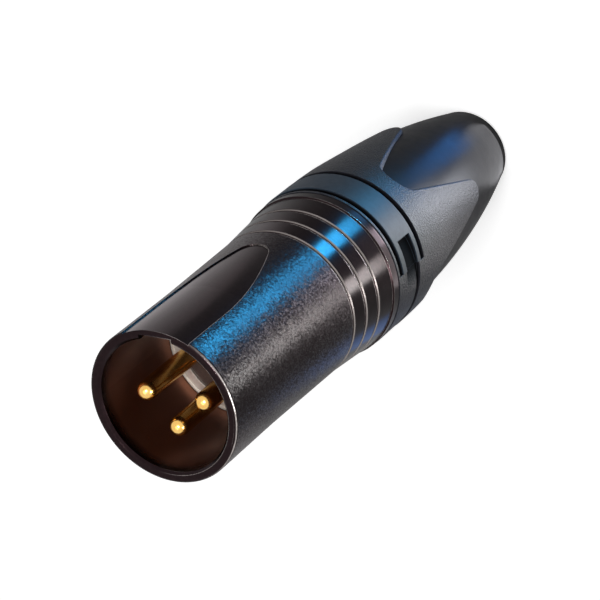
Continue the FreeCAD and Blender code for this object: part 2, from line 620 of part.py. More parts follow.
def make_cable_chuck():
    front = "sizes.carrier_end_station"
    ring_end = "sizes.chuck_ring_end_station"
    end = "sizes.chuck_end_station"
    funnel_end = f"({ring_end} + sizes.chuck_ring_bore - sizes.chuck_bore_radius)"
    body = turned("chuck_moulding", [
        ("sizes.chuck_ring_bore", front),
        ("sizes.chuck_ring_radius", front),
        ("sizes.chuck_ring_radius", ring_end),
        ("sizes.chuck_neck_radius", ring_end),
        ("sizes.chuck_neck_radius", "sizes.jaw_station"),
        ("sizes.jaw_end_radius", end),
        ("sizes.chuck_bore_radius", end),
        ("sizes.chuck_bore_radius", funnel_end),
        ("sizes.chuck_ring_bore", ring_end),
    ])
    teeth = []
    for number in range(int(value("sizes.tooth_count"))):
        station = f"({end} - sizes.tooth_margin - {number} * sizes.tooth_pitch)"
        teeth.append(turned(f"jaw_tooth_{number + 1}", [
            ("sizes.chuck_bore_radius + sizes.tooth_height", f"{station} - sizes.tooth_pitch"),
            ("sizes.chuck_bore_radius - sizes.tooth_height", station),
            ("sizes.chuck_bore_radius + sizes.tooth_height", station),
        ]))
    prongs = box("chuck_prongs_blank", "2 * sizes.chuck_ring_radius", "sizes.prong_width",
                 "sizes.prong_length + sizes.chuck_ring_length", "-sizes.chuck_ring_radius",
                 "-sizes.prong_width / 2", f"{front} - sizes.prong_length")
    prong_wall = turned("chuck_prong_wall", [
        ("sizes.skirt_bore_radius", f"{front} - sizes.prong_length - sizes.over_cut"),
        ("sizes.chuck_ring_radius", f"{front} - sizes.prong_length - sizes.over_cut"),
        ("sizes.chuck_ring_radius", ring_end),
        ("sizes.skirt_bore_radius", ring_end),
    ])
    whole = joined("chuck_blank", [body, common("chuck_prongs", prongs, prong_wall)] + teeth)
    slits = []
    for number, turn in enumerate(("45", "135")):
        slit = box(f"jaw_slit_{number + 1}_blank", "2 * sizes.chuck_ring_radius",
                   "sizes.slit_width", "sizes.slit_length + sizes.over_cut",
                   "-sizes.chuck_ring_radius", "-sizes.slit_width / 2",
                   f"{end} - sizes.slit_length")
        slits.append(turned_copy(slit, f"jaw_slit_{number + 1}", turn))
    return cut("cable_chuck", whole, joined("jaw_slits", slits))


# Boot sleeve: hard moulding with the threaded spigot, the ring's seat and the petals

def make_boot_sleeve():
    groove_end = "sizes.collar_end_station + sizes.collar_groove_width"
    core = turned("sleeve_core", [
        ("sizes.sleeve_bore_radius", "sizes.spigot_station"),
        ("sizes.spigot_radius - sizes.thread_lead", "sizes.spigot_station"),
        ("sizes.spigot_radius", "sizes.spigot_station + sizes.thread_lead"),
        ("sizes.spigot_radius", "sizes.shell_length"),
        ("sizes.collar_radius", "sizes.shell_length"),
        ("sizes.collar_radius", "sizes.collar_end_station"),
        ("sizes.collar_radius - sizes.collar_groove_depth", "sizes.collar_end_station"),
        ("sizes.collar_radius - sizes.collar_groove_depth", groove_end),
        ("sizes.sleeve_radius", groove_end),
        ("sizes.sleeve_radius", "sizes.blend_station"),
        ("sizes.gland_radius + sizes.fit_gap", "sizes.blend_station"),
        ("sizes.gland_radius + sizes.fit_gap", "sizes.pocket_station"),
        ("sizes.anchor_radius", "sizes.pocket_station"),
        ("sizes.anchor_end_radius", "sizes.anchor_end_station"),
        ("sizes.cone_end_radius", "sizes.anchor_end_station"),
        ("sizes.sleeve_bore_radius", "sizes.jaw_station"),
    ])
    # the sleeve's rear: an arc that leaves the cylinder and runs on into the petals' straight taper
    skirt = turned("petal_skirt", [
        ("sizes.anchor_radius", "sizes.blend_station"),
        ("sizes.sleeve_radius", "sizes.blend_station", "sizes.blend_radius", -1),
        ("sizes.blend_end_radius", "sizes.blend_end_station"),
        ("sizes.petal_tip_radius", "sizes.petal_tip_station"),
        ("sizes.anchor_radius", "sizes.petal_tip_station"),
    ])
    petals = common("petals_rough", skirt, petal_prisms())
    trimmed = cut("petals", petals, turned("gland_room", gland_outline("sizes.fit_gap")))
    whole = joined("sleeve_blank", [core, trimmed])
    recesses = joined("sleeve_recesses", [
        ring_sector("ring_seat", "sizes.ring_seat_radius", "sizes.ring_front_station",
                    "sizes.ring_rear_station", "sizes.ring_half_angle"),
        pry_recesses("sleeve_pry"),
    ])
    sharp = cut("sleeve_sharp", whole, recesses)
    slopes = [face for face in skirt.Shape.Faces if isinstance(face.Surface, (Part.Toroid, Part.Cone))]
    return softened("boot_sleeve", sharp, slopes, "sizes.petal_edge_round")


def petal_prisms():
    # the outline of one petal seen square on, pushed outwards and repeated round the boot
    tip = value("sizes.petal_tip_station")
    base = value("sizes.petal_station")
    tip_round = value("sizes.petal_tip_round")
    valley = value("sizes.valley_round")
    reach_text = "sizes.valley_edge_radius * sin(180 deg / sizes.petal_count)"
    reach = value(reach_text)
    tip_centre = Vector(0, tip - tip_round, 0)
    valley_centre = Vector(reach, base + valley, 0)
    between = valley_centre - tip_centre
    # the side is the inner common tangent of the tip's circle and the valley's circle
    turn = math.acos((tip_round + valley) / between.Length)
    lean = math.atan2(between.y, between.x) + turn
    towards = Vector(math.cos(lean), math.sin(lean), 0)
    on_tip = tip_centre + towards * tip_round
    on_valley = valley_centre - towards * valley

    def flipped(point):
        return Vector(-point.x, point.y, 0)

    up = Vector(0, 0, 1)
    sketch = side_sketch("petal_outline")
    below_text = "sizes.blend_station - sizes.over_cut"
    foot = Vector(reach, base, 0)
    below = Vector(reach + value("sizes.over_cut"), value(below_text), 0)
    bottom = sketch.addGeometry(Part.LineSegment(flipped(below), below))
    right_foot = sketch.addGeometry(Part.LineSegment(below, foot))
    right_valley = sketch.addGeometry(Part.ArcOfCircle(
        Part.Circle(valley_centre, up, valley), lean + math.pi, 1.5 * math.pi))
    right_side = sketch.addGeometry(Part.LineSegment(on_valley, on_tip))
    tip_arc = sketch.addGeometry(Part.ArcOfCircle(
        Part.Circle(tip_centre, up, tip_round), lean, math.pi - lean))
    left_side = sketch.addGeometry(Part.LineSegment(flipped(on_tip), flipped(on_valley)))
    left_valley = sketch.addGeometry(Part.ArcOfCircle(
        Part.Circle(flipped(valley_centre), up, valley), -0.5 * math.pi, -lean))
    left_foot = sketch.addGeometry(Part.LineSegment(flipped(foot), flipped(below)))
    for first, first_end, second, second_end in (
            (bottom, 2, right_foot, 1), (right_foot, 2, right_valley, 2),
            (left_valley, 1, left_foot, 1), (left_foot, 2, bottom, 1)):
        sketch.addConstraint(Sketcher.Constraint("Coincident", first, first_end, second, second_end))
    for first, first_end, second, second_end in (
            (right_valley, 1, right_side, 1), (right_side, 2, tip_arc, 1),
            (tip_arc, 2, left_side, 1), (left_side, 2, left_valley, 2)):
        sketch.addConstraint(Sketcher.Constraint("Tangent", first, first_end, second, second_end))
    sketch.addConstraint(Sketcher.Constraint("PointOnObject", tip_arc, 3, -2))
    distance(sketch, "DistanceY", tip_arc, 3, "sizes.petal_tip_station - sizes.petal_tip_round")
    radius_of(sketch, tip_arc, "sizes.petal_tip_round")
    for arc, foot_line, foot_start, foot_end, sign in (
            (right_valley, right_foot, 1, 2, ""), (left_valley, left_foot, 2, 1, "-")):
        radius_of(sketch, arc, "sizes.valley_round")
        distance(sketch, "DistanceX", arc, 3, f"{sign}{reach_text}")
        distance(sketch, "DistanceY", arc, 3, "sizes.petal_station + sizes.valley_round")
        distance(sketch, "DistanceX", foot_line, foot_end, f"{sign}{reach_text}")
        distance(sketch, "DistanceX", foot_line, foot_start, f"{sign}({reach_text} + sizes.over_cut)")
        distance(sketch, "DistanceY", foot_line, foot_start, below_text)
    one = prism("petal_prism", sketch, "sizes.sleeve_radius + sizes.over_cut")
    petals = []
    for number in range(int(value("sizes.petal_count"))):
        turn_text = f"sizes.petal_angle - 90 + {number} * 360 / sizes.petal_count"
        petals.append(turned_copy(one, f"petal_{number + 1}", turn_text))
    return joined("petal_prisms", petals)


def ring_sector(name, inner, front, rear, half_angle):
    # everything outside a radius over part of the turn, centred on the petal over the key side
    whole = cylinder(f"{name}_whole", "sizes.ring_band_radius + sizes.over_cut",
                     f"{rear} - ({front})", front, angle=f"2 * ({half_angle})")
    core = cylinder(f"{name}_core", inner, f"{rear} - ({front}) + 2 * sizes.over_cut",
                    f"{front} - sizes.over_cut")
    sector = cut(f"{name}_sector", whole, core)
    return turned_copy(sector, name, f"sizes.petal_angle - ({half_angle})")


def pry_recesses(name):
    # shallow recesses over the two ends of the ring, where a fingernail lifts it: each is steep
    # on the ring and runs out on the sleeve, because the cylinder of its floor lies off the axis
    front = "(sizes.ring_front_station + sizes.ring_width / 2 - sizes.pry_length / 2)"
    floor = "sizes.ring_band_radius - sizes.pry_depth / 2"
    aside = "sizes.pry_depth / 2"
    along = "sizes.pry_depth / (2 * tan(sizes.pry_half_angle * 1 deg))"
    recesses = []
    for side, sign, against in (("left", "+", "-"), ("right", "-", "+")):
        whole = cylinder(f"{name}_{side}_whole", "sizes.ring_band_radius + sizes.over_cut",
                         "sizes.pry_length", front, angle="2 * sizes.pry_half_angle")
        core = cylinder(f"{name}_{side}_core", floor, "sizes.pry_length + 2 * sizes.over_cut",
                        f"{front} - sizes.over_cut", f"0 {against} {aside}", f"0 {sign} {along}")
        sector = cut(f"{name}_{side}_sector", whole, core)
        turn = f"sizes.petal_angle {sign} sizes.ring_half_angle - sizes.pry_half_angle"
        recesses.append(turned_copy(sector, f"{name}_{side}", turn))
    return joined(f"{name}_recesses", recesses)


# Coding ring: open ring snapped into the sleeve's seat, with a slot on each side of its band

def make_coding_ring():
    front = "(sizes.ring_front_station + sizes.fit_gap)"
    rear = "(sizes.ring_rear_station - sizes.fit_gap)"
    body = turned("ring_moulding", [
        ("sizes.ring_seat_radius + sizes.fit_gap", front),
        ("sizes.ring_base_radius", front),
        ("sizes.ring_base_radius", f"{front} + sizes.ring_front_slot"),
        ("sizes.ring_band_radius", f"{front} + sizes.ring_front_slot"),
        ("sizes.ring_band_radius", f"{rear} - sizes.ring_rear_slot"),
        ("sizes.ring_base_radius", f"{rear} - sizes.ring_rear_slot"),
        ("sizes.ring_base_radius", rear),
        ("sizes.ring_seat_radius + sizes.fit_gap", rear),
    ])
    wrap = ring_sector("ring_wrap", "sizes.ring_seat_radius - sizes.over_cut",
                       "sizes.ring_front_station - sizes.over_cut",
                       "sizes.ring_rear_station + sizes.over_cut",
                       "sizes.ring_half_angle - sizes.ring_end_angle")
    return cut("coding_ring", common("ring_open", body, wrap), pry_recesses("ring_pry"))


# Boot gland: soft moulding on the sleeve, from the valleys to the tail

def gland_outline(grow):
    # the gland's outside; grow moves it outwards, for the room that the sleeve leaves
    return [
        ("sizes.cable_radius", "sizes.pocket_station"),
        (f"sizes.gland_radius + {grow}", "sizes.pocket_station"),
        (f"sizes.gland_radius + {grow}", "sizes.petal_station", "sizes.gland_curve", -1),
        (f"sizes.gland_tail_radius + {grow}", "sizes.overall_length - sizes.tail_round"),
        ("sizes.cable_radius", "sizes.overall_length - sizes.tail_round"),
    ]


def make_boot_gland():
    tube_end = "sizes.anchor_end_station + sizes.fit_gap"
    return turned("gland_moulding", [
        ("sizes.anchor_radius + sizes.fit_gap", "sizes.pocket_station"),
        ("sizes.gland_radius", "sizes.pocket_station"),
        ("sizes.gland_radius", "sizes.petal_station", "sizes.gland_curve", -1),
        ("sizes.gland_tail_radius", "sizes.overall_length - sizes.tail_round", "sizes.tail_round", -1),
        ("sizes.gland_tail_radius - sizes.tail_round", "sizes.overall_length"),
        ("sizes.cable_radius", "sizes.overall_length"),
        ("sizes.cable_radius", "sizes.overall_length - sizes.cable_entry_length"),
        ("sizes.cone_end_radius", tube_end),
        ("sizes.anchor_end_radius + sizes.fit_gap", tube_end),
    ])


pieces = {
    "shell": make_shell(),
    "contact_carrier": make_contact_carrier(),
    "earth_contact": make_earth_contact(),
    "cable_chuck": make_cable_chuck(),
    "boot_sleeve": make_boot_sleeve(),
    "coding_ring": make_coding_ring(),
    "boot_gland": make_boot_gland(),
}
for pin_name, (pin_x, pin_y) in pin_places.items():
    pieces[pin_name] = make_contact_pin(pin_name, pin_x, pin_y)

doc.recompute()

# every piece is turned over about X, so that the rim is up and the tail stands on the origin
for name, piece in pieces.items():
    piece.Label = name
    stood = FreeCAD.Rotation(Vector(1, 0, 0), 180)
    offset = piece.Placement.Base
    piece.Placement = FreeCAD.Placement(Vector(offset.x, -offset.y, 0), stood)
    if name in pin_places:
        bind(piece, Placement__Base__y=f"-({pin_places[name][1]})")
    bind(piece, Placement__Base__z="sizes.overall_length")
doc.recompute()

faults = [item.Label for item in doc.Objects if "Invalid" in item.State or "Error" in item.State]
for name, piece in pieces.items():
    if piece.Shape.isNull() or not piece.Shape.isValid() or len(piece.Shape.Solids) != 1:
        faults.append(f"{name} is not one valid solid")
if faults:
    raise RuntimeError("faulty objects: " + ", ".join(faults))

os.makedirs("parts", exist_ok=True)
for name, piece in pieces.items():
    piece.Shape.exportStep(f"parts/{name}.step")
    print(name, "volume", round(piece.Shape.Volume, 1))
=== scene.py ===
import math

import bmesh
import bpy
from mathutils import Matrix, Vector


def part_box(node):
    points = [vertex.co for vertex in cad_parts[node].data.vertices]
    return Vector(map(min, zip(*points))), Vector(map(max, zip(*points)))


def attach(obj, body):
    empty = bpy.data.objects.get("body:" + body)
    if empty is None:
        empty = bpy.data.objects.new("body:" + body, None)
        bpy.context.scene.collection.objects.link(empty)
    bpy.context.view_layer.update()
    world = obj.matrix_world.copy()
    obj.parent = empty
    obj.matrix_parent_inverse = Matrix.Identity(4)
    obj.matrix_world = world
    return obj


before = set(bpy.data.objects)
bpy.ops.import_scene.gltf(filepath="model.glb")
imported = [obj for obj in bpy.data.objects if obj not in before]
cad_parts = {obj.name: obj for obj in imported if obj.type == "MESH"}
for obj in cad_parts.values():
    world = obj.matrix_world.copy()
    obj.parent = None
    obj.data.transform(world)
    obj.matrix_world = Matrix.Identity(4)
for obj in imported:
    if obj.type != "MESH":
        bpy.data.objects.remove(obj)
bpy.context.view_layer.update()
scene = bpy.context.scene
mm = 0.001
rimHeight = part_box("shell")[1][2]        # the plug stands on its tail, so the rim is its highest point
print("frame loaded:", len(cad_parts), "nodes")


def linearColour(hexText):
    # sRGB hex to the linear colour that a shader takes
    parts = [int(hexText[i:i + 2], 16) / 255 for i in (0, 2, 4)]
    return [c / 12.92 if c <= 0.04045 else ((c + 0.055) / 1.055) ** 2.4 for c in parts] + [1.0]


def addNode(tree, kind, settings=None, inputs=None):
    # one node with its settings; an input is a plain value or the socket that feeds it
    node = tree.nodes.new(kind)
    for name, setting in (settings or {}).items():
        setattr(node, name, setting)
    for name, given in (inputs or {}).items():
        if isinstance(given, bpy.types.NodeSocket):
            tree.links.new(given, node.inputs[name])
        else:
            node.inputs[name].default_value = given
    return node


def newMaterial(name, look):
    # the shader's even values are set on its own sockets, and the pattern reads Object coordinates
    material = bpy.data.materials.new(name)
    material.use_nodes = True
    tree = material.node_tree
    shader = tree.nodes["Principled BSDF"]
    shader.inputs["Metallic"].default_value = look.get("metallic", 0.0)
    if "ior" in look:
        shader.inputs["IOR"].default_value = look["ior"]
    place = tree.nodes.new("ShaderNodeTexCoord").outputs["Object"]
    return material, tree, shader, place


# cosine between the rounded and the flat normal where an edge starts to count, and where it is full
edgeMask = {"samples": 6, "start": 0.999, "full": 0.93}


def softEdges(tree, look):
    # a rounded normal at sharp edges, and a mask that is 1 on them
    edge = addNode(tree, "ShaderNodeBevel", {"samples": edgeMask["samples"]},
                   {"Radius": look["edgeRadius"] * mm})
    surface = addNode(tree, "ShaderNodeNewGeometry")
    bend = addNode(tree, "ShaderNodeVectorMath", {"operation": "DOT_PRODUCT"},
                   {0: edge.outputs[0], 1: surface.outputs["Normal"]})
    mask = addNode(tree, "ShaderNodeMapRange", None, {
        "Value": bend.outputs["Value"], "From Min": edgeMask["start"], "From Max": edgeMask["full"]})
    return edge.outputs[0], mask.outputs["Result"]


# nearly all of the noise lies between these two values; more detail gives smaller spots in a spot
noiseLook = {"low": 0.3, "high": 0.7, "plain": 2.0, "fine": 3.0, "finest": 4.0}


def mottled(tree, place, size, low, high, detail=noiseLook["plain"]):
    # a value that wanders between low and high over spots of the given size in mm
    noise = addNode(tree, "ShaderNodeTexNoise", None,
                    {"Vector": place, "Scale": 1 / (size * mm), "Detail": detail})
    span = addNode(tree, "ShaderNodeMapRange", None, {
        "Value": noise.outputs["Fac"], "From Min": noiseLook["low"], "From Max": noiseLook["high"],
        "To Min": low, "To Max": high})
    return span.outputs["Result"]


def distanceFromAxis(tree, place):
    # the plug's axis is Z, so this is the radius that a point lies at
    flat = addNode(tree, "ShaderNodeVectorMath", {"operation": "MULTIPLY"}, {0: place, 1: (1, 1, 0)})
    length = addNode(tree, "ShaderNodeVectorMath", {"operation": "LENGTH"}, {0: flat.outputs[0]})
    return length.outputs["Value"]


def allOf(tree, masks):
    # the product of several masks
    result = masks[0]
    for mask in masks[1:]:
        result = addNode(tree, "ShaderNodeMath", {"operation": "MULTIPLY"}, {0: result, 1: mask}).outputs[0]
    return result


# camera and stage

# fitted to the photo's outline: place in metres, the camera's own axes, lens and sensor in mm
cameraView = {
    "place": (-0.15043, -0.13481, 0.29334),
    "right": (-0.87071, 0.08301, -0.48474),
    "up": (0.14195, -0.90128, -0.40932),
    "back": (-0.47087, -0.42520, 0.77297),
    "lens": 160.07,
    "sensor": 36,
}

cameraData = bpy.data.cameras.new("photoCamera")
cameraData.lens = cameraView["lens"]
cameraData.sensor_width = cameraView["sensor"]
camera = bpy.data.objects.new("photoCamera", cameraData)
scene.collection.objects.link(camera)
turn = Matrix((cameraView["right"], cameraView["up"], cameraView["back"])).transposed()
camera.matrix_world = Matrix.Translation(cameraView["place"]) @ turn.to_4x4()
scene.camera = camera
scene.view_settings.view_transform = "Standard"

stageLook = {
    "floorHalf": 0.9,       # metres
    "floorColour": "C9C9C9",
    "floorLift": 0.72,      # added for the camera only, so the pale floor reaches white
    "worldColour": "FFFFFF",
    "worldLight": 0.18,     # what the white surroundings give as light; seen or mirrored they are 1
    "worldSeen": 1.0,
}

world = bpy.data.worlds.new("paleStudio")
world.use_nodes = True
scene.world = world
tree = world.node_tree
tree.nodes.clear()
rays = addNode(tree, "ShaderNodeLightPath")
seen = rays.outputs["Is Camera Ray"]
for kindOfRay in ("Is Glossy Ray", "Is Transmission Ray"):
    seen = addNode(tree, "ShaderNodeMath", {"operation": "MAXIMUM"},
                   {0: seen, 1: rays.outputs[kindOfRay]}).outputs[0]
level = addNode(tree, "ShaderNodeMapRange", None, {
    "Value": seen, "To Min": stageLook["worldLight"], "To Max": stageLook["worldSeen"]})
background = addNode(tree, "ShaderNodeBackground", None, {
    "Color": linearColour(stageLook["worldColour"]), "Strength": level.outputs["Result"]})
addNode(tree, "ShaderNodeOutputWorld", None, {"Surface": background.outputs[0]})

floorMesh = bpy.data.meshes.new("floor")
half = stageLook["floorHalf"]
corners = [(-half, -half, 0), (half, -half, 0), (half, half, 0), (-half, half, 0)]
floorMesh.from_pydata(corners, [], [(0, 1, 2, 3)])
floor = bpy.data.objects.new("floor", floorMesh)
scene.collection.objects.link(floor)
material = bpy.data.materials.new("paleFloor")
material.use_nodes = True
tree = material.node_tree
tree.nodes.clear()
rays = addNode(tree, "ShaderNodeLightPath")
matte = addNode(tree, "ShaderNodeBsdfDiffuse", None, {"Color": linearColour(stageLook["floorColour"])})
lift = addNode(tree, "ShaderNodeMath", {"operation": "MULTIPLY"},
               {0: rays.outputs["Is Camera Ray"], 1: stageLook["floorLift"]})
glow = addNode(tree, "ShaderNodeEmission", None, {"Strength": lift.outputs[0]})
both = addNode(tree, "ShaderNodeAddShader", None, {0: matte.outputs[0], 1: glow.outputs[0]})
addNode(tree, "ShaderNodeOutputMaterial", None, {"Surface": both.outputs[0]})
floorMesh.materials.append(material)

# overhead lamps: place, point aimed at and side in metres, watts, and whether a lamp lights matt
# surfaces too or is only mirrored
overheadLamps = {
    "topSoftbox": ((-0.02, -0.02, 0.55), (0, 0, 0.05), 0.30, 0.4, True),
    "frontKey": ((-0.15, -0.14, 0.56), (0, 0, 0.07), 0.10, 1.4, True),
    "rimStrip": ((-0.38, 0.03, 0.22), (0, 0, 0.07), 0.12, 0.9, False),
}
lampColour = "FFFFFF"

# low panels that face up from the floor: the upright sides mirror the floor, so these draw the long
# streaks. Direction in degrees, near end, far end and width in mm, brightness, colour.
floorPanels = {
    "blueBarrelPanel": (-118, 53, 80, 19, 100, "2CB4F4"),
    "blueRingPanel": (-116, 30, 44, 12, 5, "4AA8F0"),
    "blueGlandPanel": (-120, 10, 24, 7, 7, "2C88E4"),
    "whiteBarrelPanel": (-172, 53, 80, 16, 34, "E4FFF6"),
    "whiteSleevePanel": (-148, 27, 39, 14, 32, "F2F5FF"),
    "whitePetalPanel": (-164, 15, 27, 10, 14, "F0F4FF"),
    "wideSleevePanel": (174, 20, 40, 32, 3.6, "FFFAFC"),
    "whiteTailPanel": (-160, 5, 14, 12, 1.8, "FAFAFF"),
    "leftFloorPanel": (-32, 50, 90, 90, 0.55, "FFF4F7"),
    "backFloorPanel": (100, 66, 100, 110, 0.3, "FFF4F7"),
    "blueEdgePanel": (109, 41, 54, 18, 0.9, "2890FF"),
}
panelHeight = 2 * mm


def addLamp(name, place, turned, width, length, watts, colour, lightsMatt):
    data = bpy.data.lights.new(name, "AREA")
    data.shape = "RECTANGLE"
    data.size = width
    data.size_y = length
    data.energy = watts
    data.color = linearColour(colour)[:3]
    lamp = bpy.data.objects.new(name, data)
    scene.collection.objects.link(lamp)
    lamp.location = place
    lamp.rotation_mode = "QUATERNION"
    lamp.rotation_quaternion = turned
    lamp.visible_camera = False
    lamp.visible_diffuse = lightsMatt


for name, (place, aim, side, watts, lightsMatt) in overheadLamps.items():
    turned = (Vector(aim) - Vector(place)).to_track_quat("-Z", "Y")
    addLamp(name, place, turned, side, side, watts, lampColour, lightsMatt)
for name, (direction, near, far, panelWidth, brightness, colour) in floorPanels.items():
    angle = math.radians(direction)
    middle = (near + far) / 2 * mm
    width, length = panelWidth * mm, (far - near) * mm
    place = (middle * math.cos(angle), middle * math.sin(angle), panelHeight)
    # facing up, with the long side along its own direction from the plug
    alongDirection = Matrix.Rotation(angle - math.pi / 2, 3, "Z")
    faceUp = Matrix.Rotation(math.pi, 3, "Y")
    turned = (alongDirection @ faceUp).to_quaternion()
    watts = brightness * math.pi * width * length
    addLamp(name, place, turned, width, length, watts, colour, False)
print("camera, floor and", len(overheadLamps) + len(floorPanels), "lamps made")


# finishes

# Black chrome over die-cast zinc. The eye gets a near-black mirror that turns pale at a glancing
# angle. The front of the barrel was cast with a fine grain that breaks the streaks up into
# sparkle. The tongue and the grip zone are smooth, and sharp edges have worn down to the nickel.
# On the -X side the edges, the rim's rounding and the grooves' upward walls also get a painted
# highlight, and the bore gets a painted warm reflection of the gold pins.
shellLook = {
    "metallic": 1.0,
    "colour": "201719", "lighterColour": "281D1F", "borePaintedReflectionColour": "704A3A", "wearAndHighlightColour": "C4BCB8",
    "spot": 0.4,             # mm, patches of the first two colours
    "smoothRoughness": 0.2, "grainedRoughness": 0.3, "boreRoughness": 0.33,
    "roughnessSpot": 6.0, "roughnessLess": -0.02, "roughnessMore": 0.03,
    "grainSize": 0.15,       # mm: the real grain of 0.1 mm is too fine for the render, so it is coarser
    "grainTilt": 0.18,
    "ripple": 0.0015, "rippleSize": 2.5,     # mm, the plating's slight waviness
    "edgeRadius": 0.09,
    # zones, in mm as in the solids: radii, and stations behind the rim
    "barrelRadius": 9.5, "waistRadius": 9.76, "straight": 12.0, "waist": 26.8,
    "flareRadius": 10.42, "flareEnd": 35.3, "groove": 0.58, "tongueDepth": 0.16,
    "boreInset": 0.8,        # anything this far inside the barrel's outside is the bore
    "boreStart": 0.6, "boreFull": 2.0,       # the bore's painted warm reflection of the gold pins fades in below the rim
    "grooveLine": 0.07, "grooveLineHalf": 0.05,     # depth and half height of a groove's painted highlight line
    # painted highlights and wear: shares, slopes as the normal's Z, and mm along X, where the -X side gets
    # the most
    "grooveHighlightShare": 0.42, "grooveSlope": 0.2, "grooveSlopeFull": 0.5,
    "grooveSide": 6.0, "grooveSideFull": -4.0, "grooveLeast": 0.3,
    "edgeSide": 1.5, "edgeSideFull": -1.5,
    "rimHighlight": 0.85, "rimDepth": 0.4, "rimRadius": 9.2, "rimRadiusFull": 9.3,
    "rimSide": -3.0, "rimSideFull": -8.0, "rimSlope": 0.6, "rimSlopeHalf": 0.2,
    "patch": 0.7, "patchLeast": 0.45,
}
look = shellLook
blackChrome, tree, shader, place = newMaterial("blackChrome", look)
axes = addNode(tree, "ShaderNodeSeparateXYZ", None, {0: place})
fromAxis = distanceFromAxis(tree, place)
surface = addNode(tree, "ShaderNodeNewGeometry")
slope = addNode(tree, "ShaderNodeSeparateXYZ", None, {0: surface.outputs["Normal"]})
waistHeight = rimHeight - look["waist"] * mm
grainEnd = rimHeight - (look["waist"] - look["groove"] / 2) * mm
halfTongue = look["tongueDepth"] / 2

# the grain covers the barrel down to the first groove, apart from the sunk tongue
outline = addNode(tree, "ShaderNodeMapRange", None, {
    "Value": axes.outputs["Z"],
    "From Min": rimHeight - look["straight"] * mm, "From Max": waistHeight,
    "To Min": (look["barrelRadius"] - halfTongue) * mm, "To Max": (look["waistRadius"] - halfTongue) * mm})
raised = addNode(tree, "ShaderNodeMath", {"operation": "GREATER_THAN"},
                 {0: fromAxis, 1: outline.outputs["Result"]})
ahead = addNode(tree, "ShaderNodeMath", {"operation": "GREATER_THAN"}, {0: axes.outputs["Z"], 1: grainEnd})
grained = allOf(tree, [raised.outputs[0], ahead.outputs[0]])

# the bore below the rim, where a warm reflection of the gold pins is painted
inBore = addNode(tree, "ShaderNodeMath", {"operation": "LESS_THAN"},
                 {0: fromAxis, 1: (look["barrelRadius"] - look["boreInset"]) * mm})
underRim = addNode(tree, "ShaderNodeMapRange", None, {
    "Value": axes.outputs["Z"],
    "From Min": rimHeight - look["boreStart"] * mm, "From Max": rimHeight - look["boreFull"] * mm})
inside = allOf(tree, [inBore.outputs[0], underRim.outputs["Result"]])

# the grooves' upward walls get a painted highlight, a fine pale line that is strongest on the -X side
flare = addNode(tree, "ShaderNodeMapRange", None, {
    "Value": axes.outputs["Z"],
    "From Min": waistHeight, "From Max": rimHeight - look["flareEnd"] * mm,
    "To Min": (look["waistRadius"] - look["grooveLine"]) * mm,
    "To Max": (look["flareRadius"] - look["grooveLine"]) * mm})
sunk = addNode(tree, "ShaderNodeMath", {"operation": "COMPARE"},
               {0: fromAxis, 1: flare.outputs["Result"], 2: look["grooveLineHalf"] * mm})
inGrip = addNode(tree, "ShaderNodeMath", {"operation": "LESS_THAN"}, {0: axes.outputs["Z"], 1: grainEnd})
upward = addNode(tree, "ShaderNodeMapRange", None, {
    "Value": slope.outputs["Z"], "From Min": look["grooveSlope"], "From Max": look["grooveSlopeFull"],
    "To Max": look["grooveHighlightShare"]})
grooveHighlightSide = addNode(tree, "ShaderNodeMapRange", None, {
    "Value": axes.outputs["X"], "From Min": look["grooveSide"] * mm, "From Max": look["grooveSideFull"] * mm,
    "To Min": look["grooveLeast"]})
grooveHighlight = allOf(tree, [sunk.outputs[0], inGrip.outputs[0],
                          upward.outputs["Result"], grooveHighlightSide.outputs["Result"]])

# each grain leans its own way: a cell's colour less middle grey is a small random step in any direction
normal, sharpEdge = softEdges(tree, look)
cells = addNode(tree, "ShaderNodeTexVoronoi", None, {"Vector": place, "Scale": 1 / (look["grainSize"] * mm)})
tilt = addNode(tree, "ShaderNodeVectorMath", {"operation": "SUBTRACT"},
               {0: cells.outputs["Color"], 1: (0.5, 0.5, 0.5)})
amount = addNode(tree, "ShaderNodeMath", {"operation": "MULTIPLY"}, {0: grained, 1: look["grainTilt"]})
tilt = addNode(tree, "ShaderNodeVectorMath", {"operation": "SCALE"},
               {0: tilt.outputs[0], "Scale": amount.outputs[0]})
tilt = addNode(tree, "ShaderNodeVectorMath", {"operation": "ADD"}, {0: tilt.outputs[0], 1: normal})
tilt = addNode(tree, "ShaderNodeVectorMath", {"operation": "NORMALIZE"}, {0: tilt.outputs[0]})
wave = mottled(tree, place, look["rippleSize"], 0.0, 1.0)
bump = addNode(tree, "ShaderNodeBump", None, {
    "Strength": 1.0, "Distance": look["ripple"] * mm, "Height": wave, "Normal": tilt.outputs[0]})
tree.links.new(bump.outputs[0], shader.inputs["Normal"])

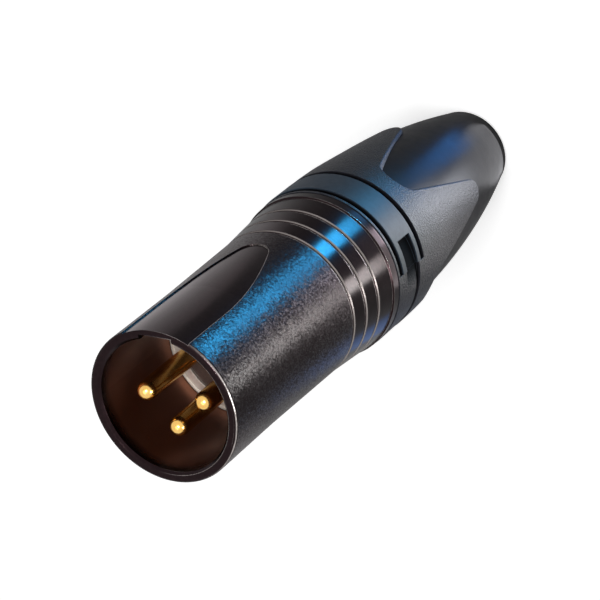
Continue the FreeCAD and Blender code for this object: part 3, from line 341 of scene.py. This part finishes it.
# sharp edges on the -X side get a pale colour that is wear and painted highlight, and the rim's rounding
# gets a painted highlight on that side
edgeHighlightSide = addNode(tree, "ShaderNodeMapRange", None, {
    "Value": axes.outputs["X"], "From Min": look["edgeSide"] * mm, "From Max": look["edgeSideFull"] * mm})
edgeWearAndHighlight = allOf(tree, [sharpEdge, edgeHighlightSide.outputs["Result"]])
atRim = addNode(tree, "ShaderNodeMath", {"operation": "GREATER_THAN"},
                {0: axes.outputs["Z"], 1: rimHeight - look["rimDepth"] * mm})
outer = addNode(tree, "ShaderNodeMapRange", None, {
    "Value": fromAxis, "From Min": look["rimRadius"] * mm, "From Max": look["rimRadiusFull"] * mm})
oneSide = addNode(tree, "ShaderNodeMapRange", None, {
    "Value": axes.outputs["X"], "From Min": look["rimSide"] * mm, "From Max": look["rimSideFull"] * mm,
    "To Max": look["rimHighlight"]})
band = addNode(tree, "ShaderNodeMath", {"operation": "COMPARE"},
               {0: slope.outputs["Z"], 1: look["rimSlope"], 2: look["rimSlopeHalf"]})
rimHighlight = allOf(tree, [atRim.outputs[0], outer.outputs["Result"],
                       oneSide.outputs["Result"], band.outputs[0]])
wearAndHighlight = addNode(tree, "ShaderNodeMath", {"operation": "MAXIMUM"}, {0: edgeWearAndHighlight, 1: rimHighlight})
patches = mottled(tree, place, look["patch"], look["patchLeast"], 1.0, noiseLook["fine"])
patchy = allOf(tree, [wearAndHighlight.outputs[0], patches])

# colours over one another: plating, painted groove highlights, the bore's painted reflection, edges worn
# pale with painted highlights
colour = linearColour(look["colour"])
for mask, overColour in (
        (mottled(tree, place, look["spot"], 0.0, 1.0, noiseLook["fine"]), look["lighterColour"]),
        (grooveHighlight, look["wearAndHighlightColour"]), (inside, look["borePaintedReflectionColour"]), (patchy, look["wearAndHighlightColour"])):
    colour = addNode(tree, "ShaderNodeMix", {"data_type": "RGBA"},
                     {0: mask, 6: colour, 7: linearColour(overColour)}).outputs[2]
tree.links.new(colour, shader.inputs["Base Color"])
rough = addNode(tree, "ShaderNodeMapRange", None, {
    "Value": grained, "To Min": look["smoothRoughness"], "To Max": look["grainedRoughness"]})
rough = addNode(tree, "ShaderNodeMath", {"operation": "MULTIPLY_ADD"}, {
    0: inside, 1: look["boreRoughness"] - look["smoothRoughness"], 2: rough.outputs["Result"]})
uneven = mottled(tree, place, look["roughnessSpot"], look["roughnessLess"], look["roughnessMore"])
rough = addNode(tree, "ShaderNodeMath", {"operation": "ADD"}, {0: rough.outputs[0], 1: uneven})
tree.links.new(rough.outputs[0], shader.inputs["Roughness"])
print("black chrome made")

# Moulded plastics and the elastomer share one recipe: a dark colour that wanders a little, a surface
# texture from the mould, and edges that are rubbed paler. Spot, texture, textureHeight, edgeRadius
# and the radius below which shade is painted are in mm. An IOR starts from the usual 1.5 of such
# plastics and is lowered where the photo's skin sends back less gloss than that.
mouldedLooks = {
    # glass-filled polyamide: dull and dark, with short pale fibres just under the skin
    "carrierPolyamide": {
        "colour": "382A25", "lighterColour": "44342D", "rubbedColour": "5E4C44",
        "spot": 0.35, "roughness": 0.5, "roughnessSpan": 0.1,
        "texture": 0.18, "textureHeight": 0.004, "edgeRadius": 0.08},
    # acetal: waxy, evenly dark, faint flow lines and almost no texture
    "chuckAcetal": {
        "colour": "1B1B1D", "lighterColour": "222225", "rubbedColour": "3A3A3E",
        "spot": 3.0, "roughness": 0.34, "roughnessSpan": 0.06,
        "texture": 0.6, "textureHeight": 0.002, "edgeRadius": 0.1},
    # polyamide from a spark-eroded mould: an even satin that spreads the light into a soft grey.
    # The real texture is about 0.08 mm and is drawn coarser, so that it shows.
    "bootPolyamide": {
        "colour": "18181E", "lighterColour": "202027", "rubbedColour": "44464F",
        "ior": 1.3, "spot": 0.5, "roughness": 0.4, "roughnessSpan": 0.06, "paintedShadeBelow": 10.62,
        "texture": 0.22, "textureHeight": 0.04, "edgeRadius": 0.1},
    # satin polyamide in a blue-grey batch, smoother than the sleeve round it
    "ringPolyamide": {
        "colour": "262F3A", "lighterColour": "2E3945", "rubbedColour": "4A5866",
        "ior": 1.3, "spot": 0.8, "roughness": 0.5, "roughnessSpan": 0.05, "paintedShadeBelow": 10.72,
        "texture": 0.3, "textureHeight": 0.004, "edgeRadius": 0.1},
    # thermoplastic elastomer: soft, smooth from the mould, with a low gloss that smears streaks
    "glandElastomer": {
        "colour": "0C0A0F", "lighterColour": "121014", "rubbedColour": "26242B", "ior": 1.2,
        "spot": 1.6, "roughness": 0.38, "roughnessSpan": 0.06,
        "texture": 0.5, "textureHeight": 0.003, "edgeRadius": 0.04},
}
# spots of roughness and patches of rubbed edge that all of them share, in mm and in shares
mouldedSpots = {"roughness": 2.2, "patch": 1.0, "patchLeast": 0.2, "patchMost": 0.8}
# Round the coding ring, surfaces below the given radius are the floors of its slots and of the
# recesses at its ends. They get a painted shade, a darker colour, and little gloss, so the eye reads them as
# deep.
recessShadeLook = {"fade": 0.2, "colour": "0C0C10", "roughness": 0.9, "specular": 0.12, "skinSpecular": 0.5}
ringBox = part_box("coding_ring")
ringMiddle, ringHalf = (ringBox[0][2] + ringBox[1][2]) / 2, (ringBox[1][2] - ringBox[0][2]) / 2
finishes = {}
for name, look in mouldedLooks.items():
    material, tree, shader, place = newMaterial(name, look)
    normal, rubbed = softEdges(tree, look)
    height = mottled(tree, place, look["texture"], 0.0, 1.0, noiseLook["fine"])
    bump = addNode(tree, "ShaderNodeBump", None, {
        "Strength": 1.0, "Distance": look["textureHeight"] * mm, "Height": height, "Normal": normal})
    tree.links.new(bump.outputs[0], shader.inputs["Normal"])
    colour = addNode(tree, "ShaderNodeMix", {"data_type": "RGBA"}, {
        0: mottled(tree, place, look["spot"], 0.0, 1.0, noiseLook["finest"]),
        6: linearColour(look["colour"]), 7: linearColour(look["lighterColour"])}).outputs[2]
    halfSpan = look["roughnessSpan"] / 2
    rough = mottled(tree, place, mouldedSpots["roughness"], look["roughness"] - halfSpan,
                    look["roughness"] + halfSpan, noiseLook["fine"])
    if "paintedShadeBelow" in look:
        axes = addNode(tree, "ShaderNodeSeparateXYZ", None, {0: place})
        sunk = addNode(tree, "ShaderNodeMapRange", None, {
            "Value": distanceFromAxis(tree, place), "From Min": look["paintedShadeBelow"] * mm,
            "From Max": (look["paintedShadeBelow"] - recessShadeLook["fade"]) * mm})
        beside = addNode(tree, "ShaderNodeMath", {"operation": "COMPARE"},
                         {0: axes.outputs["Z"], 1: ringMiddle, 2: ringHalf})
        paintedRecessShade = allOf(tree, [sunk.outputs["Result"], beside.outputs[0]])
        # painted shade: the floors of the slots and recesses get a darker colour, more roughness and less
        # gloss
        colour = addNode(tree, "ShaderNodeMix", {"data_type": "RGBA"},
                         {0: paintedRecessShade, 6: colour, 7: linearColour(recessShadeLook["colour"])}).outputs[2]
        rough = addNode(tree, "ShaderNodeMapRange", None, {
            "Value": paintedRecessShade, "To Min": rough, "To Max": recessShadeLook["roughness"]}).outputs["Result"]
        gloss = addNode(tree, "ShaderNodeMapRange", None, {
            "Value": paintedRecessShade, "To Min": recessShadeLook["skinSpecular"], "To Max": recessShadeLook["specular"]})
        tree.links.new(gloss.outputs["Result"], shader.inputs["Specular IOR Level"])
    patches = mottled(tree, place, mouldedSpots["patch"], mouldedSpots["patchLeast"],
                      mouldedSpots["patchMost"], noiseLook["fine"])
    colour = addNode(tree, "ShaderNodeMix", {"data_type": "RGBA"}, {
        0: allOf(tree, [rubbed, patches]),
        6: colour, 7: linearColour(look["rubbedColour"])}).outputs[2]
    tree.links.new(colour, shader.inputs["Base Color"])
    tree.links.new(rough, shader.inputs["Roughness"])
    finishes[name] = material
print("moulded finishes made:", ", ".join(finishes))

# Plated and turned or stamped metal, with fine lines left by the tool. Sizes in mm.
platedLooks = {
    # hard gold over nickel on a turned pin: warm and bright, with faint rings round it
    "goldPlating": {
        "metallic": 1.0, "colour": "EEBA60", "lighterColour": "F5CA7C", "wearAndHighlightColour": "FBE0A8",
        "spot": 0.8, "roughness": 0.2, "roughnessSpan": 0.03,
        "lineSpacing": 0.12, "lineStretch": (0.05, 0.05, 1.0), "lineHeight": 0.0005, "edgeRadius": 0.08},
    # nickel on stamped bronze: pale, satin, tumbled so that its scratches run every way
    "nickelPlating": {
        "metallic": 1.0, "colour": "D9D2C9", "lighterColour": "E6E1DA", "wearAndHighlightColour": "F2EEE8",
        "spot": 0.4, "roughness": 0.58, "roughnessSpan": 0.12,
        "lineSpacing": 0.1, "lineStretch": (1.0, 0.3, 1.0), "lineHeight": 0.002, "edgeRadius": 0.06},
}
platedRoughnessSpot = 0.9
for name, look in platedLooks.items():
    material, tree, shader, place = newMaterial(name, look)
    normal, sharpEdge = softEdges(tree, look)
    stretched = addNode(tree, "ShaderNodeMapping", None, {"Vector": place, "Scale": look["lineStretch"]})
    lines = mottled(tree, stretched.outputs[0], look["lineSpacing"], 0.0, 1.0, noiseLook["fine"])
    bump = addNode(tree, "ShaderNodeBump", None, {
        "Strength": 1.0, "Distance": look["lineHeight"] * mm, "Height": lines, "Normal": normal})
    tree.links.new(bump.outputs[0], shader.inputs["Normal"])
    colour = linearColour(look["colour"])
    for mask, overColour in (
            (mottled(tree, place, look["spot"], 0.0, 1.0, noiseLook["fine"]), look["lighterColour"]),
            (sharpEdge, look["wearAndHighlightColour"])):
        colour = addNode(tree, "ShaderNodeMix", {"data_type": "RGBA"},
                         {0: mask, 6: colour, 7: linearColour(overColour)}).outputs[2]
    tree.links.new(colour, shader.inputs["Base Color"])
    halfSpan = look["roughnessSpan"] / 2
    rough = mottled(tree, place, platedRoughnessSpot, look["roughness"] - halfSpan,
                    look["roughness"] + halfSpan, noiseLook["fine"])
    tree.links.new(rough, shader.inputs["Roughness"])
    finishes[name] = material
print("plated finishes made")

nodeFinishes = {
    "shell": blackChrome,
    "contact_carrier": finishes["carrierPolyamide"],
    "contact_pin_1": finishes["goldPlating"],
    "contact_pin_2": finishes["goldPlating"],
    "contact_pin_3": finishes["goldPlating"],
    "earth_contact": finishes["nickelPlating"],
    "cable_chuck": finishes["chuckAcetal"],
    "boot_sleeve": finishes["bootPolyamide"],
    "coding_ring": finishes["ringPolyamide"],
    "boot_gland": finishes["glandElastomer"],
}
for name, material in nodeFinishes.items():
    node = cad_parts[name]
    if not node.material_slots:
        node.data.materials.append(material)
    for index in range(len(node.material_slots)):
        node.material_slots[index].material = material
print("materials given to", len(nodeFinishes), "nodes")


# the thread on the boot's spigot, which the solids leave plain

threadLook = {
    "radius": 8.42,          # mm, middle of the bead, just under the spigot's skin
    "bead": 0.24,            # mm, so the crest stays clear of the shell's thread bore
    "pitch": 1.5,            # mm
    "turns": 3.9,
    "start": 41.9,           # mm above the floor
    "pointsPerTurn": 72,
    "beadSides": 10,
    "weld": 0.001,           # mm, points closer than this are one
}

threadTree = bpy.data.node_groups.new("threadTurns", "GeometryNodeTree")
threadTree.interface.new_socket("Geometry", in_out="OUTPUT", socket_type="NodeSocketGeometry")
threadSizes = {
    "Radius": threadLook["radius"] * mm,
    "Bead Radius": threadLook["bead"] * mm,
    "Turns": threadLook["turns"],
    "Length": threadLook["turns"] * threadLook["pitch"] * mm,
    "Start": threadLook["start"] * mm,
}
socketNames = {}
for name in threadSizes:
    socket = threadTree.interface.new_socket(name, in_out="INPUT", socket_type="NodeSocketFloat")
    socketNames[name] = socket.identifier
sizes = addNode(threadTree, "NodeGroupInput")
# the node winds to the left by itself, and Reverse makes it a right-hand thread
spiral = addNode(threadTree, "GeometryNodeCurveSpiral", None, {
    "Resolution": threadLook["pointsPerTurn"], "Rotations": sizes.outputs["Turns"],
    "Start Radius": sizes.outputs["Radius"], "End Radius": sizes.outputs["Radius"],
    "Height": sizes.outputs["Length"], "Reverse": True})
bead = addNode(threadTree, "GeometryNodeCurvePrimitiveCircle", None,
               {"Resolution": threadLook["beadSides"], "Radius": sizes.outputs["Bead Radius"]})
swept = addNode(threadTree, "GeometryNodeCurveToMesh", None,
                {"Curve": spiral.outputs[0], "Profile Curve": bead.outputs[0], "Fill Caps": True})
lifted = addNode(threadTree, "ShaderNodeCombineXYZ", None, {"Z": sizes.outputs["Start"]})
placed = addNode(threadTree, "GeometryNodeTransform", None,
                 {"Geometry": swept.outputs[0], "Translation": lifted.outputs[0]})
real = addNode(threadTree, "GeometryNodeRealizeInstances", None, {"Geometry": placed.outputs[0]})
coloured = addNode(threadTree, "GeometryNodeSetMaterial", None,
                   {"Geometry": real.outputs[0], "Material": finishes["bootPolyamide"]})
addNode(threadTree, "NodeGroupOutput", None, {"Geometry": coloured.outputs[0]})

spigotThread = bpy.data.objects.new("spigotThread", bpy.data.meshes.new("spigotThread"))
scene.collection.objects.link(spigotThread)
maker = spigotThread.modifiers.new("threadTurns", "NODES")
maker.node_group = threadTree
for name, size in threadSizes.items():
    maker[socketNames[name]] = size
made = bpy.data.meshes.new_from_object(spigotThread.evaluated_get(bpy.context.evaluated_depsgraph_get()))
spigotThread.modifiers.remove(maker)
spigotThread.data = made
working = bmesh.new()
working.from_mesh(made)
bmesh.ops.remove_doubles(working, verts=working.verts, dist=threadLook["weld"] * mm)
bmesh.ops.recalc_face_normals(working, faces=working.faces)
for face in working.faces:
    face.smooth = True
working.to_mesh(made)
working.free()
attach(spigotThread, "boot")
print("spigot thread made:", len(made.polygons), "faces")
